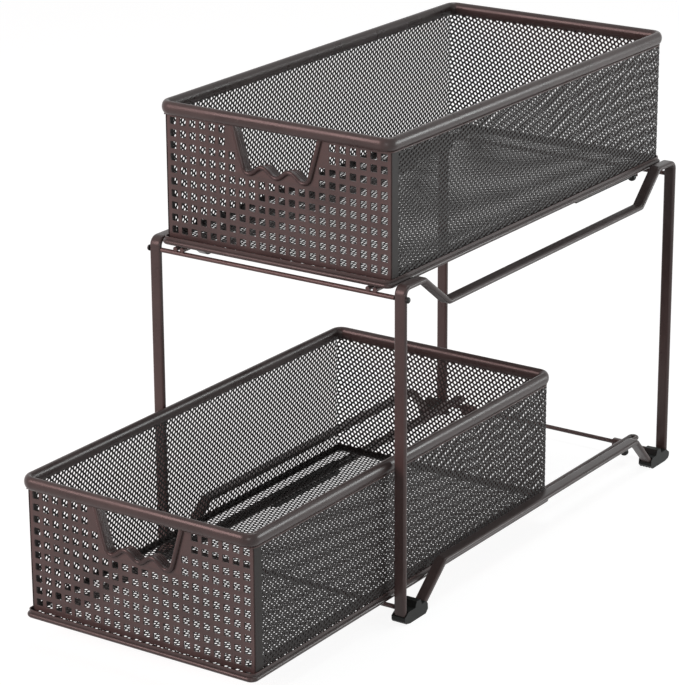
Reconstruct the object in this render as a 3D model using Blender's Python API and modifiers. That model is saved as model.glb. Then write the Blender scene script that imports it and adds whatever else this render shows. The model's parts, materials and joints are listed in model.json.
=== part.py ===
"""Two-tier sliding basket organizer: two wire-mesh baskets that pull out along wire tracks in a
bent-strip frame on four plastic feet. Metres, +Z up, front towards -Y, floor at Z 0.

It stands as photographed, with the upper basket pushed in and the lower one pulled part way out.
"""

import math

import bmesh
import bpy
from mathutils import Matrix, Vector

# Baskets: sizes are taken at the centre-line of the rolled rim
BASKET_WIDTH = 0.200
BASKET_DEPTH = 0.400
BASKET_HEIGHT = 0.1052
CORNER_RADIUS = 0.0073
WALL_CORNER_RADIUS = 0.0030
RIM_DIAMETER = 0.0070
RIM_SKIRT_DEPTH = 0.0070
RIM_SKIRT_THICKNESS = 0.0016
MESH_THICKNESS = 0.0008
BASE_WIRE_DIAMETER = 0.0040
BASE_WIRE_OUTSET = 0.0013
HEM_HEIGHT = 0.0042
HEM_THICKNESS = 0.0008

# Openings that stand for the fine expanded mesh, parted by plain bars
MESH_BAR_WIDTH = 0.0060
SIDE_OPENINGS = 5
BACK_OPENINGS = 3
WALL_OPENING_ROWS = 2
FLOOR_OPENINGS = 3
FLOOR_OPENING_ROWS = 5

# Punched front plate and its wavy handle opening
PLATE_THICKNESS = 0.0012
PLATE_TOP_DROP = 0.0010
HOLE_PITCH_X = 0.00892
HOLE_PITCH_Z = 0.00932
HOLE_SIDE = 0.0056
FIRST_ROW_DROP = 0.0123
HOLE_EDGE_MARGIN = 0.0008
PLATE_BORDER = 0.0025
HANDLE_TOP_HALF = 0.0395
HANDLE_TOP_DROP = 0.0045
HANDLE_FOOT_HALF = 0.02775
HANDLE_DEPTH = 0.0420
HANDLE_WAVE_LENGTH = 0.0243
HANDLE_WAVE_HEIGHT = 0.0062
HANDLE_CORNER_RADIUS = 0.0047
TRIM_DIAMETER = 0.0038
LINING_DEPTH = 0.0074
LINING_THICKNESS = 0.0010

# Side frames: flat-oval strip, bent
STRIP_WIDTH = 0.0100
STRIP_THICKNESS = 0.0040
BASKET_SIDE_GAP = 0.0015
FRONT_LEG_SETBACK = 0.0007
REAR_LEG_BEHIND_RIM = 0.0043
TIER_SPACING = 0.2405
HOOP_TOP_ABOVE_ROD = 0.0079
SIDE_DIP_DEPTH = 0.0256
TOP_BEND_RADIUS = 0.0055
DIP_BEND_RADIUS = 0.0040
DIP_FRONT_START = 0.0262
DIP_FRONT_RUN = 0.0337
DIP_REAR_START = 0.0257
DIP_REAR_RUN = 0.0276
LOWER_RAIL_HEIGHT = 0.0315
RAIL_END_HEIGHT = 0.0055
RAIL_END_INSET = 0.0250
RAIL_FRONT_BEND = 0.0563
RAIL_REAR_BEND = 0.0503

# Feet: the same shape at all four corners, measured from the middle of the leg
FOOT_WIDTH = 0.0120
FOOT_LENGTH = 0.0285
FOOT_TOE = 0.0031
FOOT_TOE_HEIGHT = 0.0062
FOOT_BODY_HEIGHT = 0.0098
FOOT_SOLE_START = 0.0040
FOOT_SOLE_END = 0.0255
FOOT_HEEL_HEIGHT = 0.0030
FOOT_BOSS_START = 0.0110
FOOT_BOSS_END = 0.0200
FOOT_BOSS_HEIGHT = 0.0143
LEG_END_HEIGHT = 0.0034
SOLE_GROOVE_WIDTH = 0.0012
SOLE_GROOVE_DEPTH = 0.0010
SOLE_GROOVE_PITCH = 0.0027
SOLE_GROOVES = 4
TOE_FRONT_SHARES = (0.94, 0.48)
TOE_UNDER_SHARES = (0.45, 0.19)
BOSS_TOP_SHARES = (0.22, 0.78)
HEEL_TOP_SHARES = (0.85, 0.78)

# Cross rods and slide tracks
ROD_DIAMETER = 0.0036
LOWER_ROD_HEIGHT = 0.0122
REAR_ROD_DROP = 0.0025
LOWER_REAR_ROD_INSET = 0.0098
CAP_DIAMETER = 0.0047
CAP_HEIGHT = 0.0022
TRACK_WIRE_DIAMETER = 0.0036
TRACK_PITCH = 0.0062
TRACK_INSET = 0.0135
TRACK_FRONT_OVERHANG = 0.0032
UPPER_TRACK_TAIL = 0.0030
LOWER_TRACK_TAIL = 0.0055
BRACKET_WIDTH = 0.0118
BRACKET_THICKNESS = 0.0012
BRACKET_DROP = 0.0060
BRACKET_BEND_RADIUS = 0.0018
STOP_DIAMETER = 0.0070
STOP_LENGTH = 0.0050
STOP_NECK_DIAMETER = 0.0036
STOP_NECK_LENGTH = 0.0015
STOP_REAR_INSET = 0.0247
CAP_CROWN_SHARES = (0.60, 0.92)
CAP_EDGE_SHARE = 0.50
STOP_FACE_SHARE = 0.70

# Runners under the baskets
RUNNER_THICKNESS = 0.0016
RUNNER_FRONT = 0.0120
GLIDE_NECK_THICKNESS = 0.0020
GLIDE_FLANGE_WIDTH = 0.0092
GLIDE_FLANGE_HEIGHT = 0.0032
STOP_CLEARANCE = 0.0005

# Motion and fits
BASKET_TRAVEL = 0.2800
LOWER_BASKET_PULLED = 0.1716
RUNNING_GAP = 0.0004
SEAT_GAP = 0.0003
CUT_OVERRUN = 0.0050
MERGE_DISTANCE = 0.00001
WELD_DISTANCE = 0.000001

# Facets: how many straight steps make each round form
BEND_STEPS = 5
SMALL_BEND_STEPS = 3
HAIRPIN_STEPS = 6
RIM_STEPS = 8
WIRE_STEPS = 6
STRIP_EDGE_STEPS = 4
WAVE_STEPS = 6
TURNED_STEPS = 12
WIRE_BEVEL_RESOLUTION = 2

# Worked out from the sizes above
half_width = BASKET_WIDTH / 2
base_wire_centre = -BASKET_HEIGHT
base_wire_bottom = base_wire_centre - BASE_WIRE_DIAMETER / 2
wall_top = -RIM_SKIRT_DEPTH - SEAT_GAP
wall_bottom = base_wire_centre + BASE_WIRE_DIAMETER / 2 + SEAT_GAP
floor_top = wall_bottom - SEAT_GAP
floor_bottom = floor_top - MESH_THICKNESS
plate_front = RIM_DIAMETER / 2 + SEAT_GAP
plate_middle = plate_front + PLATE_THICKNESS / 2
plate_half = half_width - MESH_THICKNESS / 2 - SEAT_GAP
hole_span_x = 2 * (plate_half - PLATE_BORDER) - HOLE_SIDE
hole_span_z = -FIRST_ROW_DROP - wall_bottom - PLATE_BORDER - HOLE_SIDE / 2
hole_columns = int(hole_span_x / HOLE_PITCH_X) + 1
hole_rows = int(hole_span_z / HOLE_PITCH_Z) + 1
track_offset = half_width - TRACK_INSET
track_centre = base_wire_bottom - RUNNING_GAP - TRACK_WIRE_DIAMETER / 2
track_bottom = track_centre - TRACK_WIRE_DIAMETER / 2
rod_centre = track_bottom - SEAT_GAP - ROD_DIAMETER / 2
frame_offset = half_width + RIM_DIAMETER / 2 + BASKET_SIDE_GAP + STRIP_WIDTH / 2
upper_rod_height = LOWER_ROD_HEIGHT + TIER_SPACING
lower_rim_height = LOWER_ROD_HEIGHT - rod_centre
upper_rim_height = upper_rod_height - rod_centre
side_top_height = upper_rod_height + HOOP_TOP_ABOVE_ROD
front_leg = FRONT_LEG_SETBACK
rear_leg = BASKET_DEPTH + REAR_LEG_BEHIND_RIM
lower_rear_rod = rear_leg - LOWER_REAR_ROD_INSET
stop_rear = rear_leg - STOP_REAR_INSET
stop_front = stop_rear - STOP_LENGTH
glide_rear = stop_front - STOP_CLEARANCE
glide_front = front_leg + ROD_DIAMETER / 2 + BASKET_TRAVEL + 2 * STOP_CLEARANCE

rear_most = rear_leg + UPPER_TRACK_TAIL + TRACK_WIRE_DIAMETER / 2
front_most = -LOWER_BASKET_PULLED - RIM_DIAMETER / 2
middle_of_depth = (front_most + rear_most) / 2


# Scene helpers

def clear_scene():
    for old in list(bpy.data.objects):
        bpy.data.objects.remove(old)


def new_collection(name):
    made = bpy.data.collections.new(name)
    bpy.context.scene.collection.children.link(made)
    return made


def add_object(name, data, parent, collection, location=(0, 0, 0)):
    made = bpy.data.objects.new(name, data)
    made.parent = parent
    made.location = location
    collection.objects.link(made)
    return made


def principled(name, colour, roughness, metallic):
    material = bpy.data.materials.new(name)
    material.use_nodes = True
    shader = material.node_tree.nodes["Principled BSDF"]
    shader.inputs["Base Color"].default_value = (*colour, 1.0)
    shader.inputs["Roughness"].default_value = roughness
    shader.inputs["Metallic"].default_value = metallic
    return material


def finish(part, colour, roughness, metallic):
    """Each part gets a material of its own, named for it."""
    part.data.materials.append(principled(part.name + "_finish", colour, roughness, metallic))
    return part


def bronze(part):
    return finish(part, (0.085, 0.062, 0.057), 0.38, 0.75)


def black_plastic(part):
    return finish(part, (0.012, 0.013, 0.012), 0.55, 0.0)


# Path helpers: all work on lists of 2D points

def filleted(corners, radius, steps):
    """The open path through these corners, each inner corner rounded to the radius."""
    path = [corners[0]]
    for before, corner, after in zip(corners, corners[1:], corners[2:]):
        arrive = (Vector(corner) - Vector(before)).normalized()
        leave = (Vector(after) - Vector(corner)).normalized()
        turn = arrive.angle_signed(leave)
        tangent = radius * math.tan(abs(turn) / 2)
        side = Vector((-arrive.y, arrive.x)) * math.copysign(radius, -turn)
        start = Vector(corner) - arrive * tangent
        centre = start + side
        for step in range(steps + 1):
            spoke = Matrix.Rotation(-turn * step / steps, 2) @ -side
            path.append(tuple(centre + spoke))
    path.append(corners[-1])
    return path


def rounded_rectangle(half_x, low_y, high_y, radius, steps):
    """A closed path, counter-clockwise seen from above."""
    path = []
    centres = (
        (half_x - radius, low_y + radius, -math.pi / 2),
        (half_x - radius, high_y - radius, 0),
        (radius - half_x, high_y - radius, math.pi / 2),
        (radius - half_x, low_y + radius, math.pi),
    )
    for centre_x, centre_y, start in centres:
        for step in range(steps + 1):
            angle = start + math.pi / 2 * step / steps
            path.append((centre_x + radius * math.cos(angle), centre_y + radius * math.sin(angle)))
    return path


def offset_path(path, distance):
    """The open path moved sideways, to its left where the distance is positive."""
    moved = []
    last = len(path) - 1
    for index, point in enumerate(path):
        ahead = Vector(path[min(index + 1, last)]) - Vector(point)
        behind = Vector(point) - Vector(path[max(index - 1, 0)])
        ahead = ahead.normalized() if ahead.length else behind.normalized()
        behind = behind.normalized() if behind.length else ahead
        along = (ahead + behind).normalized()
        side = Vector((-along.y, along.x)) / max(along.dot(ahead), math.cos(math.pi / 3))
        moved.append(tuple(Vector(point) + side * distance))
    return moved


def inside(point, outline):
    """Whether the 2D point lies in the closed outline."""
    crossings = 0
    x, y = point
    for (x0, y0), (x1, y1) in zip(outline, outline[1:] + outline[:1]):
        if (y0 > y) != (y1 > y) and x < x0 + (x1 - x0) * (y - y0) / (y1 - y0):
            crossings += 1
    return crossings % 2 == 1


# Shape helpers

def poly_curve(name, dimensions):
    curve = bpy.data.curves.new(name, "CURVE")
    curve.dimensions = dimensions
    curve.resolution_u = 1
    curve.render_resolution_u = 0
    return curve


def add_spline(curve, points, closed):
    spline = curve.splines.new("POLY")
    spline.points.add(len(points) - 1)
    for target, point in zip(spline.points, points):
        target.co = (*point, *[0] * (3 - len(point)), 1)
    spline.use_cyclic_u = closed


def tube(name, points, diameter, parent, collection, closed=False):
    """A round wire along 3D points."""
    curve = poly_curve(name, "3D")
    add_spline(curve, points, closed)
    curve.bevel_depth = diameter / 2
    curve.bevel_resolution = WIRE_BEVEL_RESOLUTION
    curve.use_fill_caps = not closed
    return add_object(name, curve, parent, collection)


def swept(name, path, profile, parent, collection, closed=False):
    """The profile carried along a flat path, with its second axis square to the path's plane."""
    curve = poly_curve(name, "3D")
    add_spline(curve, path, closed)
    curve.twist_mode = "Z_UP"
    curve.bevel_mode = "OBJECT"
    curve.bevel_object = profile
    curve.use_fill_caps = not closed
    return as_mesh(add_object(name, curve, parent, collection), collection)


def profile_curve(name, points, guides):
    """A closed section for sweeping, kept out of the model itself."""
    curve = poly_curve(name, "2D")
    curve.fill_mode = "NONE"
    add_spline(curve, points, True)
    guide = add_object(name, curve, None, guides)
    guide.hide_render = True
    guide.display_type = "WIRE"
    return guide


def sheet(name, outlines, thickness, parent, collection):
    """A flat outline, with the holes inside it, given a thickness about its own plane."""
    curve = poly_curve(name, "2D")
    curve.fill_mode = "BOTH"
    for outline in outlines:
        add_spline(curve, outline, True)
    curve.extrude = thickness / 2
    return add_object(name, curve, parent, collection)


def ribbon(name, path, thickness, width, parent, collection):
    """A bent strip: the path with a thickness in its plane and a width across it."""
    outline = offset_path(path, thickness / 2) + offset_path(path, -thickness / 2)[::-1]
    return sheet(name, [outline], width, parent, collection)


def upright(part, location):
    """Stands a piece drawn in its own XY plane up in the XZ plane, facing the front."""
    part.matrix_basis = Matrix.Translation(location) @ Matrix.Rotation(math.pi / 2, 4, "X")
    return part


def sideways(part, location):
    """Turns a piece drawn in its own XY plane so that it runs along Y and up Z, square to X."""
    turned = Matrix.Rotation(math.pi / 2, 4, "Z") @ Matrix.Rotation(math.pi / 2, 4, "X")
    part.matrix_basis = Matrix.Translation(location) @ turned
    return part


def box(name, size, centre, parent, collection):
    """A plain strip or panel with square edges."""
    bpy.ops.mesh.primitive_cube_add(size=1)
    made = bpy.context.object
    made.name = name
    for owner in list(made.users_collection):
        owner.objects.unlink(made)
    collection.objects.link(made)
    made.parent = parent
    made.data.transform(Matrix.Diagonal((*size, 1)))
    made.location = centre
    return made


def turned(name, profile, parent, collection):
    """A profile of radius and height turned about its own Z axis."""
    mesh = bpy.data.meshes.new(name)
    edges = [(index, index + 1) for index in range(len(profile) - 1)]
    mesh.from_pydata([(radius, 0, height) for radius, height in profile], edges, [])
    made = add_object(name, mesh, parent, collection)
    screw = made.modifiers.new("turn", "SCREW")
    screw.steps = TURNED_STEPS
    screw.render_steps = TURNED_STEPS
    screw.use_merge_vertices = True
    screw.merge_threshold = MERGE_DISTANCE
    return made


def as_mesh(curve_object, collection):
    """The curve's evaluated mesh as an object of the same name and place, with its caps welded."""
    graph = bpy.context.evaluated_depsgraph_get()
    mesh = bpy.data.meshes.new_from_object(curve_object.evaluated_get(graph))
    name = curve_object.name
    parent = curve_object.parent
    basis = curve_object.matrix_basis.copy()
    bpy.data.objects.remove(curve_object)
    weld_caps(mesh)
    made = add_object(name, mesh, parent, collection)
    made.matrix_basis = basis
    return made


def weld_caps(mesh):
    """Joins a curve's loose caps to its sides and turns every face outwards."""
    work = bmesh.new()
    work.from_mesh(mesh)
    bmesh.ops.remove_doubles(work, verts=work.verts, dist=WELD_DISTANCE)
    bmesh.ops.recalc_face_normals(work, faces=work.faces)
    work.to_mesh(mesh)
    work.free()


def cut(part, cutter):
    cutter.hide_render = True
    cutter.display_type = "WIRE"
    hole = part.modifiers.new("cut_" + cutter.name, "BOOLEAN")
    hole.operation = "DIFFERENCE"
    hole.solver = "EXACT"
    hole.object = cutter


# Sections

def flat_oval_section(guides):
    """The side frames' strip: its first axis is the thickness, its second the width."""
    edge_radius = STRIP_THICKNESS / 2
    reach = STRIP_WIDTH / 2 - edge_radius
    points = []
    for start, centre in ((0, reach), (math.pi, -reach)):
        for step in range(STRIP_EDGE_STEPS + 1):
            angle = start + math.pi * step / STRIP_EDGE_STEPS
            points.append((edge_radius * math.cos(angle), centre + edge_radius * math.sin(angle)))
    return profile_curve("flat_oval_section", points, guides)


def rolled_edge(diameter, reach, thickness, steps):
    """A roll with a flat skirt that hangs from its middle."""
    radius = diameter / 2
    half_skirt = thickness / 2
    skirt_angle = math.asin(half_skirt / radius)
    start = -math.pi / 2 + skirt_angle
    sweep = 2 * (math.pi - skirt_angle)
    points = [(-half_skirt, -reach), (half_skirt, -reach)]
    for step in range(steps + 1):
        angle = start + sweep * step / steps
        points.append((radius * math.cos(angle), radius * math.sin(angle)))
    return points


def rim_section(guides):
    """The rolled rim, with the skirt that grips the mesh."""
    points = rolled_edge(RIM_DIAMETER, RIM_SKIRT_DEPTH, RIM_SKIRT_THICKNESS, RIM_STEPS)
    return profile_curve("rim_section", points, guides)


def base_section(guides):
    """The base wire, with the hem that stands on it outside the mesh."""
    points = rolled_edge(BASE_WIRE_DIAMETER, HEM_HEIGHT, HEM_THICKNESS, WIRE_STEPS)
    return profile_curve("base_section", [(x, -y) for x, y in reversed(points)], guides)


def trim_section(guides):
    """The handle's rolled edge, with the lining that runs back from it."""
    points = rolled_edge(TRIM_DIAMETER, LINING_DEPTH, LINING_THICKNESS, WIRE_STEPS)
    return profile_curve("trim_section", points, guides)


# Basket pieces, drawn from the middle of the rim's front edge

def basket_path(outset, corner_radius):
    return rounded_rectangle(
        half_width + outset, -outset, BASKET_DEPTH + outset, corner_radius + outset, BEND_STEPS - 1
    )


def handle_path():
    """The edge of the handle opening in the plate's plane, from its top left to its top right."""
    swing = HANDLE_WAVE_HEIGHT / 2
    wave = []
    for step in range(1, 2 * WAVE_STEPS):
        x = HANDLE_WAVE_LENGTH * (step / WAVE_STEPS - 1)
        lift = swing * (1 - math.cos(2 * math.pi * x / HANDLE_WAVE_LENGTH))
        wave.append((x, lift - HANDLE_DEPTH))
    left = filleted(
        [
            (-HANDLE_TOP_HALF, -HANDLE_TOP_DROP),
            (-HANDLE_FOOT_HALF, -HANDLE_DEPTH),
            (0, -HANDLE_DEPTH),
        ],
        HANDLE_CORNER_RADIUS,
        BEND_STEPS,
    )[:-1]
    right = [(-x, z) for x, z in reversed(left)]
    return left + wave + right


def plate_hole(column, row):
    """The four corners of one square hole."""
    centre_x = (column - (hole_columns - 1) / 2) * HOLE_PITCH_X
    centre_z = -FIRST_ROW_DROP - row * HOLE_PITCH_Z
    half = HOLE_SIDE / 2
    return [
        (centre_x + half * side_x, centre_z + half * side_z)
        for side_x, side_z in ((-1, -1), (1, -1), (1, 1), (-1, 1))
    ]


def plate_outlines():
    """The punched plate: its edge, notched for the handle, and the square holes clear of it."""
    notch = offset_path(handle_path(), -TRIM_DIAMETER / 2 - SEAT_GAP)
    notch = [(notch[0][0], -PLATE_TOP_DROP)] + notch + [(notch[-1][0], -PLATE_TOP_DROP)]
    top_half = half_width - CORNER_RADIUS
    right_side = [
        (top_half, -PLATE_TOP_DROP),
        (top_half, wall_top),
        (plate_half, wall_top),
        (plate_half, wall_bottom),
    ]
    corners = right_side + [(-x, z) for x, z in reversed(right_side)]
    kept_clear = offset_path(handle_path(), -TRIM_DIAMETER / 2 - SEAT_GAP - HOLE_EDGE_MARGIN)
    kept_clear = [(kept_clear[0][0], 0)] + kept_clear + [(kept_clear[-1][0], 0)]
    holes = []
    for column in range(hole_columns):
        for row in range(hole_rows):
            hole = plate_hole(column, row)
            if not any(inside(corner, kept_clear) for corner in hole):
                holes.append(hole)
    return [notch + corners] + holes


def rectangle(low_x, high_x, low_y, high_y):
    return [(low_x, low_y), (high_x, low_y), (high_x, high_y), (low_x, high_y)]


def grid_openings(low_x, high_x, low_y, high_y, columns, rows):
    """Rectangles that fill the area, parted by bars, with none along its edges."""
    width = (high_x - low_x + MESH_BAR_WIDTH) / columns
    height = (high_y - low_y + MESH_BAR_WIDTH) / rows
    openings = []
    for column in range(columns):
        for row in range(rows):
            left = low_x + column * width
            bottom = low_y + row * height
            openings.append(
                rectangle(left, left + width - MESH_BAR_WIDTH, bottom, bottom + height - MESH_BAR_WIDTH)
            )
    return openings


def glide_outline():
    """The glide's T section: a neck between the track wires and a flange under them."""
    neck = GLIDE_NECK_THICKNESS / 2
    flange = GLIDE_FLANGE_WIDTH / 2
    shoulder = track_bottom - SEAT_GAP
    bottom = shoulder - GLIDE_FLANGE_HEIGHT
    top = floor_bottom - SEAT_GAP
    return [
        (-neck, top),
        (-neck, shoulder),
        (-flange, shoulder),
        (-flange, bottom),
        (flange, bottom),
        (flange, shoulder),
        (neck, shoulder),
        (neck, top),
    ]


def make_rim(prefix, slide, rim_profile, pieces):
    path = basket_path(0, CORNER_RADIUS)
    bronze(swept(prefix + "_rim", path, rim_profile, slide, pieces, closed=True))


def make_base_wire(prefix, slide, profile, pieces):
    path = basket_path(BASE_WIRE_OUTSET, WALL_CORNER_RADIUS)
    points = [(x, y, base_wire_centre) for x, y in path]
    bronze(swept(prefix + "_base_wire", points, profile, slide, pieces, closed=True))


def make_front_plate(prefix, slide, pieces):
    plate = sheet(prefix + "_front_plate", plate_outlines(), PLATE_THICKNESS, slide, pieces)
    bronze(upright(plate, (0, plate_middle, 0)))


def make_handle_trim(prefix, slide, profile, pieces):
    trim = swept(prefix + "_handle_trim", handle_path(), profile, slide, pieces)
    bronze(upright(trim, (0, plate_middle, 0)))


def make_walls(prefix, slide, pieces, cutters):
    bend_start = BASKET_DEPTH - WALL_CORNER_RADIUS
    front, rear = plate_front, bend_start - SEAT_GAP
    bar = MESH_BAR_WIDTH
    outlines = [rectangle(front, rear, wall_bottom, wall_top)] + grid_openings(
        front + bar, rear - bar, wall_bottom + bar, wall_top - bar, SIDE_OPENINGS, WALL_OPENING_ROWS
    )
    for side, sign in (("left", -1), ("right", 1)):
        wall = sheet(f"{prefix}_{side}_mesh", outlines, MESH_THICKNESS, slide, pieces)
        bronze(sideways(wall, (sign * half_width, 0, 0)))
    corners = [
        (half_width, bend_start),
        (half_width, BASKET_DEPTH),
        (-half_width, BASKET_DEPTH),
        (-half_width, bend_start),
    ]
    path = filleted(corners, WALL_CORNER_RADIUS - SEAT_GAP, BEND_STEPS - 1)
    back = ribbon(prefix + "_back_mesh", path, MESH_THICKNESS, wall_top - wall_bottom, slide, pieces)
    back.location = (0, 0, (wall_top + wall_bottom) / 2)
    back = as_mesh(back, pieces)
    reach = half_width - WALL_CORNER_RADIUS - bar
    openings = grid_openings(
        -reach, reach, wall_bottom + bar, wall_top - bar, BACK_OPENINGS, WALL_OPENING_ROWS
    )
    cutter = sheet(prefix + "_back_openings", openings, 2 * CUT_OVERRUN, slide, cutters)
    cut(bronze(back), as_mesh(upright(cutter, (0, BASKET_DEPTH, 0)), cutters))


def make_floor(prefix, slide, pieces):
    inset = BASE_WIRE_OUTSET - BASE_WIRE_DIAMETER / 2 - SEAT_GAP
    reach = track_offset - GLIDE_FLANGE_WIDTH / 2 - MESH_BAR_WIDTH
    front, rear = plate_middle + MESH_BAR_WIDTH, BASKET_DEPTH + inset - MESH_BAR_WIDTH
    openings = grid_openings(-reach, reach, front, rear, FLOOR_OPENINGS, FLOOR_OPENING_ROWS)
    name = prefix + "_floor_mesh"
    edge = basket_path(inset, WALL_CORNER_RADIUS)
    floor = sheet(name, [edge] + openings, MESH_THICKNESS, slide, pieces)
    floor.location = (0, 0, (floor_top + floor_bottom) / 2)
    bronze(floor)


def make_runners(prefix, slide, pieces):
    """The thin metal runner in front and the plastic glide that hooks under the track behind it."""
    runner_top = floor_bottom - SEAT_GAP
    runner_height = runner_top - track_bottom
    runner_rear = glide_front - SEAT_GAP
    runner_length = runner_rear - RUNNER_FRONT
    glide_length = glide_rear - glide_front
    for side, sign in (("left", -1), ("right", 1)):
        x = sign * track_offset
        runner = box(
            f"{prefix}_{side}_runner",
            (RUNNER_THICKNESS, runner_length, runner_height),
            (x, RUNNER_FRONT + runner_length / 2, runner_top - runner_height / 2),
            slide,
            pieces,
        )
        bronze(runner)
        glide = sheet(f"{prefix}_{side}_glide", [glide_outline()], glide_length, slide, pieces)
        black_plastic(upright(glide, (x, glide_front + glide_length / 2, 0)))


def make_basket(prefix, slide, profiles, pieces, cutters):
    make_rim(prefix, slide, profiles["rim"], pieces)
    make_base_wire(prefix, slide, profiles["base"], pieces)
    make_front_plate(prefix, slide, pieces)
    make_handle_trim(prefix, slide, profiles["trim"], pieces)
    make_walls(prefix, slide, pieces, cutters)
    make_floor(prefix, slide, pieces)
    make_runners(prefix, slide, pieces)


# Frame pieces, drawn from the middle of the closed baskets' front edge, at the floor

def hoop_path():
    """One side's legs and top rail, from the front foot round to the rear foot, as (y, z)."""
    dip_height = side_top_height - SIDE_DIP_DEPTH
    legs = filleted(
        [
            (front_leg, LEG_END_HEIGHT),
            (front_leg, side_top_height),
            (front_leg + DIP_FRONT_START / 2, side_top_height),
        ],
        TOP_BEND_RADIUS,
        BEND_STEPS,
    )[:-1]
    dip = filleted(
        [
            (front_leg + DIP_FRONT_START / 2, side_top_height),
            (front_leg + DIP_FRONT_START, side_top_height),
            (front_leg + DIP_FRONT_START + DIP_FRONT_RUN, dip_height),
            (rear_leg - DIP_REAR_START - DIP_REAR_RUN, dip_height),
            (rear_leg - DIP_REAR_START, side_top_height),
            (rear_leg - DIP_REAR_START / 2, side_top_height),
        ],
        DIP_BEND_RADIUS,
        SMALL_BEND_STEPS,
    )[1:-1]
    rear = filleted(
        [
            (rear_leg - DIP_REAR_START / 2, side_top_height),
            (rear_leg, side_top_height),
            (rear_leg, LEG_END_HEIGHT),
        ],
        TOP_BEND_RADIUS,
        BEND_STEPS,
    )[1:]
    return legs + dip + rear


def rail_corners():
    return [
        (front_leg + RAIL_END_INSET, RAIL_END_HEIGHT),
        (front_leg + RAIL_FRONT_BEND, LOWER_RAIL_HEIGHT),
        (rear_leg - RAIL_REAR_BEND, LOWER_RAIL_HEIGHT),
        (rear_leg - RAIL_END_INSET, RAIL_END_HEIGHT),
    ]


def foot_outline():
    """The foot seen from its side, from the leg's middle inwards: toe, sole, heel, boss and top."""
    heel_lean = FOOT_LENGTH - FOOT_SOLE_END
    toe_front, front_height = TOE_FRONT_SHARES
    toe_under, under_height = TOE_UNDER_SHARES
    heel_top, heel_height = HEEL_TOP_SHARES
    boss_length = FOOT_BOSS_END - FOOT_BOSS_START
    boss_low, boss_high = BOSS_TOP_SHARES
    return [
        (-FOOT_TOE, FOOT_TOE_HEIGHT),
        (-FOOT_TOE * toe_front, FOOT_TOE_HEIGHT * front_height),
        (-FOOT_TOE * toe_under, FOOT_TOE_HEIGHT * under_height),
        (FOOT_SOLE_START, 0),
        (FOOT_SOLE_END, 0),
        (FOOT_LENGTH, FOOT_HEEL_HEIGHT),
        (FOOT_SOLE_END + heel_lean * heel_top, FOOT_BODY_HEIGHT * heel_height),
        (FOOT_SOLE_END, FOOT_BODY_HEIGHT),
        (FOOT_BOSS_END, FOOT_BODY_HEIGHT),
        (FOOT_BOSS_START + boss_length * boss_high, FOOT_BOSS_HEIGHT),
        (FOOT_BOSS_START + boss_length * boss_low, FOOT_BOSS_HEIGHT),
        (FOOT_BOSS_START, FOOT_BODY_HEIGHT),
        (STRIP_THICKNESS / 2, FOOT_BODY_HEIGHT),
    ]


def cutter_box(name, size, location, tilt, parent, cutters):
    cutter = box(name, size, (0, 0, 0), parent, cutters)
    cutter.matrix_basis = Matrix.Translation(location) @ Matrix.Rotation(tilt, 4, "X")
    return cutter


def make_foot(name, x, leg_y, facing, rail_bend, root, pieces, cutters):
    """A foot with a pocket for the leg, a slanted socket for the rail and a grooved sole.

    Facing is 1 where the foot reaches towards the rear and -1 where it reaches forwards."""
    foot = sheet(name, [foot_outline()], FOOT_WIDTH, root, pieces)
    foot = as_mesh(sideways(foot, (x, leg_y, 0)), pieces)
    if facing < 0:
        foot.matrix_basis = foot.matrix_basis @ Matrix.Rotation(math.pi, 4, "Y")
    slot_width = STRIP_WIDTH + 2 * SEAT_GAP
    slot_depth = STRIP_THICKNESS + 2 * SEAT_GAP
    slot_bottom = LEG_END_HEIGHT - SEAT_GAP
    slot_height = FOOT_BODY_HEIGHT + CUT_OVERRUN - slot_bottom
    slot = cutter_box(
        name + "_leg_slot",
        (slot_width, slot_depth, slot_height),
        (x, leg_y, slot_bottom + slot_height / 2),
        0,
        root,
        cutters,
    )
    cut(foot, slot)
    slope = math.atan2(LOWER_RAIL_HEIGHT - RAIL_END_HEIGHT, rail_bend - RAIL_END_INSET)
    socket_length = 2 * FOOT_BOSS_HEIGHT
    along = Vector((0, facing * math.cos(slope), math.sin(slope)))
    rail_end = Vector((x, leg_y + facing * RAIL_END_INSET, RAIL_END_HEIGHT))
    socket = cutter_box(
        name + "_rail_socket",
        (slot_width, socket_length, slot_depth),
        rail_end + along * (socket_length / 2 - SEAT_GAP),
        facing * slope,
        root,
        cutters,
    )
    cut(foot, socket)
    for groove in range(SOLE_GROOVES):
        groove_x = x + (groove - (SOLE_GROOVES - 1) / 2) * SOLE_GROOVE_PITCH
        groove_length = FOOT_LENGTH + FOOT_TOE + 2 * CUT_OVERRUN
        channel = cutter_box(
            f"{name}_groove_{groove + 1}",
            (SOLE_GROOVE_WIDTH, groove_length, 2 * SOLE_GROOVE_DEPTH),
            (groove_x, leg_y + facing * (FOOT_LENGTH - FOOT_TOE) / 2, 0),
            0,
            root,
            cutters,
        )
        cut(foot, channel)
    black_plastic(foot)


def make_side(side, sign, root, strip_profile, pieces, cutters):
    x = sign * frame_offset
    hoop = swept(f"{side}_side_hoop", hoop_path(), strip_profile, root, pieces)
    bronze(sideways(hoop, (x, 0, 0)))
    rail = swept(
        f"{side}_lower_rail",
        filleted(rail_corners(), DIP_BEND_RADIUS, SMALL_BEND_STEPS),
        strip_profile,
        root,
        pieces,
    )
    bronze(sideways(rail, (x, 0, 0)))
    make_foot(f"front_{side}_foot", x, front_leg, 1, RAIL_FRONT_BEND, root, pieces, cutters)
    make_foot(f"rear_{side}_foot", x, rear_leg, -1, RAIL_REAR_BEND, root, pieces, cutters)


def make_rod(name, y, z, half_length, root, pieces):
    ends = [(-half_length, y, z), (half_length, y, z)]
    bronze(tube(name, ends, ROD_DIAMETER, root, pieces))


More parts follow.
